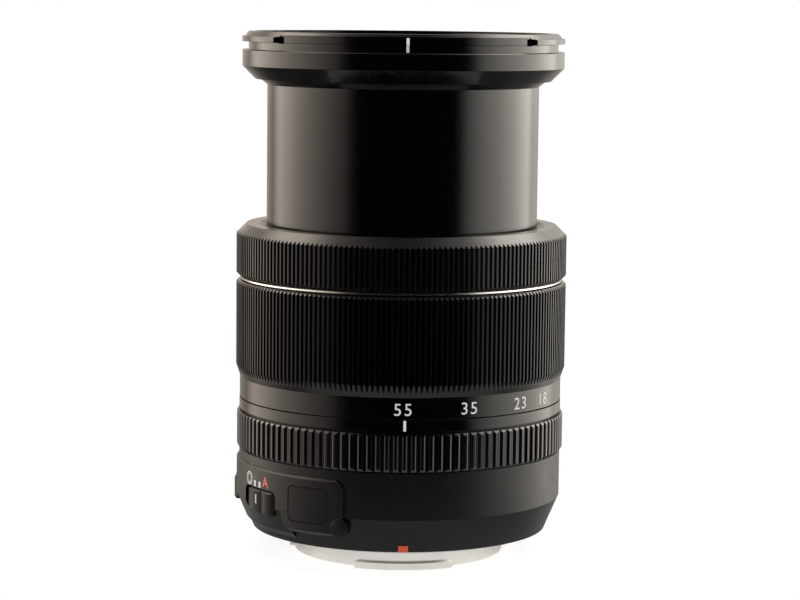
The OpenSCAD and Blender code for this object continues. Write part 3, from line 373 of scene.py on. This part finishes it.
def helix_thread(name, radius, depth, z0, z1, pitch, material, body):
    """Internal thread: one ridge that winds up the bore and fades out at both ends"""
    steps = 120  # in one turn
    fade_turns, least = 0.25, 0.02
    root = radius + 0.05 * MM
    root_half, crest_half = 0.46 * pitch, 0.08 * pitch
    turns = (z1 - z0) / pitch - 1
    bm = bmesh.new()
    rings = []
    for i in range(int(turns * steps) + 1):
        t = i / steps
        a = 2 * math.pi * t
        z = z0 + pitch * (t + 0.5)
        crest = radius - depth * min(1.0, min(t, turns - t) / fade_turns + least)
        section = [(root, z - root_half), (crest, z - crest_half),
                   (crest, z + crest_half), (root, z + root_half)]
        rings.append([bm.verts.new((r * math.sin(a), -r * math.cos(a), h)) for r, h in section])
    for p, q in zip(rings, rings[1:]):
        for j in range(4):
            k = (j + 1) % 4
            bm.faces.new((p[j], q[j], q[k], p[k]))
    bm.faces.new(rings[0])
    bm.faces.new(rings[-1][::-1])
    bmesh.ops.recalc_face_normals(bm, faces=bm.faces)
    link_solid(name, bm, material, body)


# Focal lengths on the zoom ring, by azimuth in degrees from the front
SCALE = {"55": -0.7, "35": 22.5, "23": 44.5, "18": 58.0}
for text, azimuth in SCALE.items():
    lettering("scale_" + text, text, height=2.3 * MM, radius=31.8 * MM, azimuth=azimuth, z=28.35 * MM,
              material=white, body="zoom_control", spacing=1.2)

# Index line below them
bar("index_line", width=0.52 * MM, height=2.0 * MM, radius=31.85 * MM, azimuth=-0.05, z=25.4 * MM,
    material=white, body="fixed_barrel")

# Hood mark, on both steps of the front ring
HOOD_AZIMUTH, HOOD_WIDTH = -0.3, 0.55 * MM
bar("hood_mark_low", HOOD_WIDTH, height=1.4 * MM, radius=30.3 * MM, azimuth=HOOD_AZIMUTH, z=95.5 * MM,
    material=white, body="front_group")
bar("hood_mark_top", HOOD_WIDTH, height=1.3 * MM, radius=30.75 * MM, azimuth=HOOD_AZIMUTH, z=96.85 * MM,
    material=white, body="front_group")

# Signs above the mode switch
PANEL_R = 32.35 * MM
TICKS = (-61.1, -57.9)
lettering("mode_auto", "A", height=2.0 * MM, radius=PANEL_R, azimuth=-54.3, z=12.05 * MM,
          material=orange, body="fixed_barrel", bolder=0.05 * MM)
iris_sign("mode_iris", size=1.3 * MM, radius=PANEL_R, azimuth=-65.4, z=12.1 * MM,
          material=white, body="fixed_barrel")
for i, azimuth in enumerate(TICKS):
    bar(f"mode_tick_{i + 1}", width=0.7 * MM, height=1.2 * MM, radius=PANEL_R, azimuth=azimuth,
        z=11.4 * MM, material=white, body="fixed_barrel")

# Lines on both switches
KNOB_R, KNOB_Z = 32.69 * MM, 8.55 * MM
KNOB_LINE = (0.35 * MM, 1.8 * MM)
bar("mode_line", *KNOB_LINE, KNOB_R, azimuth=-59.4, z=KNOB_Z, material=white, body="mode_knob")
bar("stabiliser_line", *KNOB_LINE, KNOB_R, azimuth=-94.5, z=KNOB_Z, material=white, body="stabiliser_knob")

# Signs above the stabiliser switch
STATE_HEIGHT, STATE_Z = 1.5 * MM, 12.0 * MM
lettering("stabiliser_on", "ON", STATE_HEIGHT, PANEL_R, azimuth=-101.0, z=STATE_Z, material=white,
          body="fixed_barrel")
lettering("stabiliser_off", "OFF", STATE_HEIGHT, PANEL_R, azimuth=-88.5, z=STATE_Z, material=white,
          body="fixed_barrel")

# Filter thread
helix_thread("filter_thread_ridge", radius=28.98 * MM, depth=0.38 * MM, z0=94.6 * MM, z1=97.95 * MM,
             pitch=0.75 * MM, material=black, body="front_group")

# Floor: an ellipse that the camera sees as white, apart from the shadow. Glossy surfaces see it lit only
# in a patch close in front of the mount.
FLOOR_WIDTH, FLOOR_DEPTH = 0.13, 0.15
FLOOR_Y, FLOOR_Z = -0.03, cad_box[0][2]
FLOOR_LIFT = 0.65
PATCH_Y, PATCH_LIFT = -18 * MM, 0.4
PATCH_FULL, PATCH_END = 20 * MM, 32 * MM

floor_material, tree, shader = new_material("floor_pale")
shader.inputs["Base Color"].default_value = (0.8, 0.8, 0.8, 1.0)
shader.inputs["Roughness"].default_value = 0.9
shader.inputs["Specular IOR Level"].default_value = 0.0
shader.inputs["Emission Color"].default_value = WHITE
path = tree.nodes.new("ShaderNodeLightPath")
seen = math_node(tree, "MULTIPLY", path.outputs["Is Camera Ray"], FLOOR_LIFT)
reach = tree.nodes.new("ShaderNodeVectorMath")
reach.operation = "DISTANCE"
reach.inputs[1].default_value = (0.0, PATCH_Y, FLOOR_Z)
tree.links.new(tree.nodes.new("ShaderNodeTexCoord").outputs["Object"], reach.inputs[0])
near = map_range(tree, reach.outputs["Value"], PATCH_FULL, PATCH_END, PATCH_LIFT, 0.0)
mirrored = math_node(tree, "MULTIPLY", path.outputs["Is Glossy Ray"], near)
tree.links.new(math_node(tree, "ADD", seen, mirrored), shader.inputs["Emission Strength"])

bm = bmesh.new()
bmesh.ops.create_circle(bm, cap_ends=True, segments=96, radius=1.0)
bmesh.ops.scale(bm, verts=bm.verts, vec=(FLOOR_WIDTH / 2, FLOOR_DEPTH / 2, 1.0))
bmesh.ops.translate(bm, verts=bm.verts, vec=(0, FLOOR_Y, FLOOR_Z))
floor = bpy.data.objects.new("floor", bpy.data.meshes.new("floor"))
bm.to_mesh(floor.data)
bm.free()
bpy.context.scene.collection.objects.link(floor)
floor.data.materials.append(floor_material)

# World: glossy rays see two light panels with a dark gap in front, and a faint glow overhead. The camera,
# also through glass, sees white, and diffuse rays see plain light.
PLAIN_LIGHT, BACKDROP = 0.8, 1.0
PANEL_PEAK, RISE_PEAK = 4.0, 2.2
LEFT, RIGHT = (1.0, 0.88, 0.77), (1.0, 0.95, 0.86)
# Brightness by azimuth, in degrees from the front
STOPS = [(-180, 0.5, LEFT), (-143, 0.6, LEFT), (-128, 2.6, LEFT), (-112, 2.8, LEFT), (-84, 1.7, LEFT),
         (-67, 1.0, LEFT), (-52, 0.47, LEFT), (-44, 0.1, LEFT), (-38, 0.01, LEFT),
         (43, 0.01, RIGHT), (48, 0.18, RIGHT), (56, 1.0, RIGHT), (72, 2.05, RIGHT), (98, 3.2, RIGHT),
         (118, 3.7, RIGHT), (129, 3.4, RIGHT), (140, 1.45, RIGHT), (165, 0.5, RIGHT)]
# Brightness by height, from -1 straight down to 1 straight up
RISE = [(-0.75, 0.04), (-0.45, 0.2), (-0.25, 0.72), (-0.045, 1.12), (-0.015, 1.5), (0.25, 1.5),
        (0.6, 2.0), (0.78, 1.95), (0.9, 0.5), (1.0, 0.02)]
GLOW = [(0.92, 0.0), (0.98, 0.026)]

world = bpy.data.worlds.new("studio")
bpy.context.scene.world = world
world.use_nodes = True
tree = world.node_tree
tree.nodes.clear()
out = tree.nodes.new("ShaderNodeOutputWorld")
path = tree.nodes.new("ShaderNodeLightPath")
x, y, z = axes(tree, tree.nodes.new("ShaderNodeTexCoord").outputs["Generated"])
angle = math_node(tree, "ARCTAN2", x, math_node(tree, "MULTIPLY", y, -1.0))
turn = math_node(tree, "ADD", math_node(tree, "DIVIDE", angle, 2 * math.pi), 0.5)
panels = ramp(tree, turn, [((a + 180) / 360, shade(c, v / PANEL_PEAK)) for a, v, c in STOPS])
level = math_node(tree, "MULTIPLY_ADD", z, 0.5, 0.5)
rise = ramp(tree, level, [((h + 1) / 2, (v / RISE_PEAK,) * 3) for h, v in RISE])
glow = ramp(tree, z, [(h, (v,) * 3) for h, v in GLOW])
light = mix_colors(tree, "ADD", mix_colors(tree, "MULTIPLY", panels, rise), glow)
studio = background(tree, PANEL_PEAK * RISE_PEAK)
tree.links.new(light, studio.inputs["Color"])
lit = mix_shaders(tree, path.outputs["Is Glossy Ray"], background(tree, PLAIN_LIGHT), studio)
clear = math_node(tree, "MAXIMUM", path.outputs["Is Camera Ray"], path.outputs["Is Transmission Ray"])
seen = mix_shaders(tree, clear, lit, background(tree, BACKDROP))
tree.links.new(seen.outputs[0], out.inputs[0])
world.cycles.sampling_method = "NONE"

# Camera: fitted to the photograph, in metres and degrees
DISTANCE, HEIGHT = 0.505, 0.1043
AZIMUTH, PITCH, ROLL = -1.8, 6.65, 0.626
SENSOR, LENS, SHIFT_X = 36.0, 115.45, -0.0011
az = math.radians(AZIMUTH)
cam = bpy.data.cameras.new("camera")
cam.sensor_width = SENSOR
cam.lens = LENS
cam.shift_x = SHIFT_X
camera = bpy.data.objects.new("camera", cam)
bpy.context.scene.collection.objects.link(camera)
camera.matrix_world = (Matrix.Translation((DISTANCE * math.sin(az), -DISTANCE * math.cos(az), HEIGHT))
                       @ Matrix.Rotation(az, 4, "Z") @ Matrix.Rotation(math.radians(90 - PITCH), 4, "X")
                       @ Matrix.Rotation(math.radians(ROLL), 4, "Z"))
bpy.context.scene.camera = camera
bpy.context.scene.view_settings.view_transform = "Standard"
